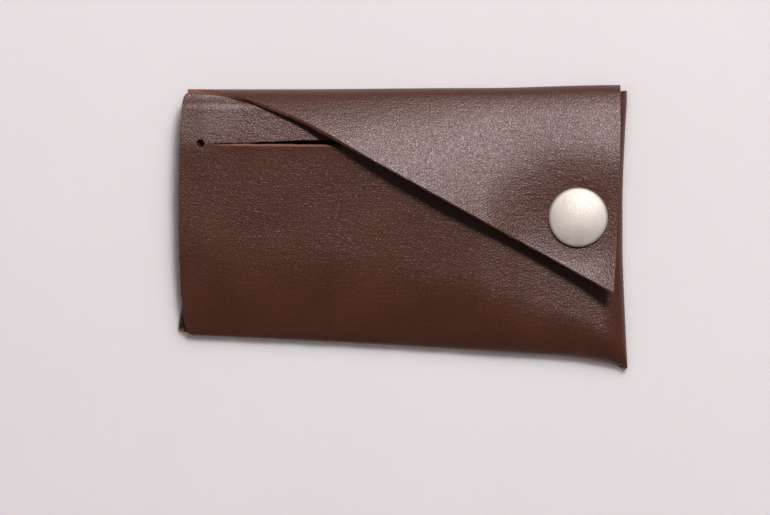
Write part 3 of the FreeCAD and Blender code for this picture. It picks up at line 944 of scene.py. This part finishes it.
def cap_profile():
    """The cap's section: a low dome, a rolled rim, and a lip curled in under it."""
    top, low = CAP_HIGH[2], CAP_LOW[2]
    shoulder_r, shoulder_z = CAP_R - 0.7, low + 1.25
    rise = top - shoulder_z
    sphere = (shoulder_r**2 + rise**2) / (2 * rise)
    radii = np.linspace(0.0, shoulder_r, 26)
    dome = [(r, top - sphere + math.sqrt(sphere**2 - r**2)) for r in radii]
    slope = math.asin(shoulder_r / sphere)
    turns = np.linspace(math.pi / 2 - slope, -math.pi / 2, 16)
    rim_z = 0.62
    start = (math.cos(turns[0]) * 0.7, math.sin(turns[0]) * rim_z)
    centre_z = shoulder_z - start[1]
    rim = [(shoulder_r + math.cos(a) * 0.7 - start[0], centre_z + math.sin(a) * rim_z) for a in turns[1:]]
    shift = CAP_R - max(r for r, _ in rim)
    rim = [(r + shift * smooth(i, 0, 8), max(z, low)) for i, (r, z) in enumerate(rim)]
    curl = [(CAP_R - 1.4, low), (CAP_R - 2.0, low), (CAP_R - 2.0, low + METAL), (CAP_R - 1.2, low + METAL)]
    inner = [(r, z - METAL) for r, z in dome[::-1] if r < CAP_R - 1.2]
    return np.array(dome + rim + curl + inner, float)


def socket_profile():
    """The socket's section, with the groove that holds its spring."""
    low, high = SOCKET_LOW[2], SOCKET_HIGH[2]
    outer = (SOCKET_HIGH[0] - SOCKET_LOW[0]) / 2
    hole, groove = 3.3, 5.6
    corners = [
        (hole, low),
        (outer - 0.5, low),
        (outer, low + 0.5),
        (outer, high - 0.3),
        (outer - 0.3, high),
        (POST_R - 0.05, high),
        (POST_R - 0.05, high - METAL),
        (hole, high - METAL),
        (hole, low + 1.3),
        (groove, low + 1.3),
        (groove, low + 0.5),
        (hole, low + 0.5),
    ]
    return rounded_corners(corners, 0.14)


def stud_profile():
    """The stud's section: a dished base, a narrow neck and a rounded head."""
    low, high = STUD_LOW[2], STUD_HIGH[2]
    base = (STUD_HIGH[0] - STUD_LOW[0]) / 2
    bore, neck, head = POST_R - 0.05, 2.5, 2.95
    corners = [
        (bore, low),
        (base, low),
        (base, low + 0.3),
        (base - 0.6, low + 0.5),
        (neck, low + 0.5),
        (neck, high - 0.8),
        (head, high - 0.6),
        (head, high - 0.3),
        (head - 0.4, high),
        (bore, high),
    ]
    return rounded_corners(corners, 0.2, 5)


def make_snap(nickel, steel, wire):
    """The snap's turned parts, and the finish of the CAD's parts inside it."""
    turned = [
        (lathe("snap_cap_shell", cap_profile()), "snap_cap", "flap", nickel, "cap_nickel"),
        (lathe("snap_socket_ring", socket_profile()), "snap_socket", "flap", steel, "snap_steel"),
        (lathe("snap_stud_turned", stud_profile()), "snap_stud", "wallet", steel, "snap_steel"),
    ]
    for piece, node, body, finish, slot in turned:
        piece.data.materials.append(finish)
        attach(piece, body)
        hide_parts(node)
    for node, finish in (("snap_cap_post", steel), ("stud_eyelet", steel), ("socket_spring", wire)):
        frame["nodes"][node].data.materials.clear()
        frame["nodes"][node].data.materials.append(finish)


# ---------------------------------------------------------------- floor, lights and camera


def make_floor():
    """A wide plain floor under the wallet."""
    half = 1.5
    mesh = bpy.data.meshes.new("floor")
    corners = [(-half, -half, 0), (half, -half, 0), (half, half, 0), (-half, half, 0)]
    mesh.from_pydata(corners, [], [(0, 1, 2, 3)])
    mesh.materials.append(floor_material())
    floor = bpy.data.objects.new("floor", mesh)
    bpy.context.scene.collection.objects.link(floor)


def area_light(name, azimuth, elevation, distance, size, power, colour):
    """A soft light aimed at the wallet. Azimuth is from +Y towards +X."""
    data = bpy.data.lights.new(name, "AREA")
    data.shape = "DISK"
    data.size = size
    data.energy = power
    data.color = colour
    light = bpy.data.objects.new(name, data)
    turn, lift = math.radians(azimuth), math.radians(elevation)
    way = Vector((math.cos(lift) * math.sin(turn), math.cos(lift) * math.cos(turn), math.sin(lift)))
    light.location = way * distance
    light.rotation_euler = way.to_track_quat("Z", "Y").to_euler()
    bpy.context.scene.collection.objects.link(light)


def make_lights():
    """A soft high window at the upper right, a weak lower one, and dim pale light from all round."""
    area_light("high_window", 20.0, 60.0, 1.6, 0.35, 22.8, (1.0, 0.975, 0.97))
    area_light("low_window", 20.0, 40.0, 1.6, 0.9, 4.5, (1.0, 0.975, 0.965))
    world = bpy.data.worlds.new("room")
    world.use_nodes = True
    background = world.node_tree.nodes["Background"]
    background.inputs["Color"].default_value = (1.0, 0.98, 0.985, 1)
    background.inputs["Strength"].default_value = 0.13
    bpy.context.scene.world = world
    bpy.context.scene.view_settings.view_transform = "Standard"


def make_camera():
    """A camera straight above the wallet, a little off its middle. Lengths are in millimetres."""
    height, view_width, subject_z = 2000.0, 194.0, 10.0
    centre_x, centre_y = -3.9, -7.7
    data = bpy.data.cameras.new("camera")
    data.sensor_width = 36.0
    data.lens = 36.0 * (height - subject_z) / view_width
    camera = bpy.data.objects.new("camera", data)
    camera.location = (centre_x * MM, centre_y * MM, height * MM)
    bpy.context.scene.collection.objects.link(camera)
    bpy.context.scene.camera = camera


make_camera()
make_hide([grain_leather(), raw_edge(), flesh_side()])
make_snap(
    metal("satin_nickel", (0.77, 0.70, 0.66, 1), (0.71, 0.64, 0.60, 1), 0.68, 2600.0),
    metal("bright_nickel", (0.66, 0.64, 0.61, 1), (0.55, 0.52, 0.48, 1), 0.3, 1800.0),
    metal("drawn_wire", (0.50, 0.49, 0.47, 1), (0.40, 0.38, 0.36, 1), 0.26, 1200.0),
)
make_floor()
make_lights()
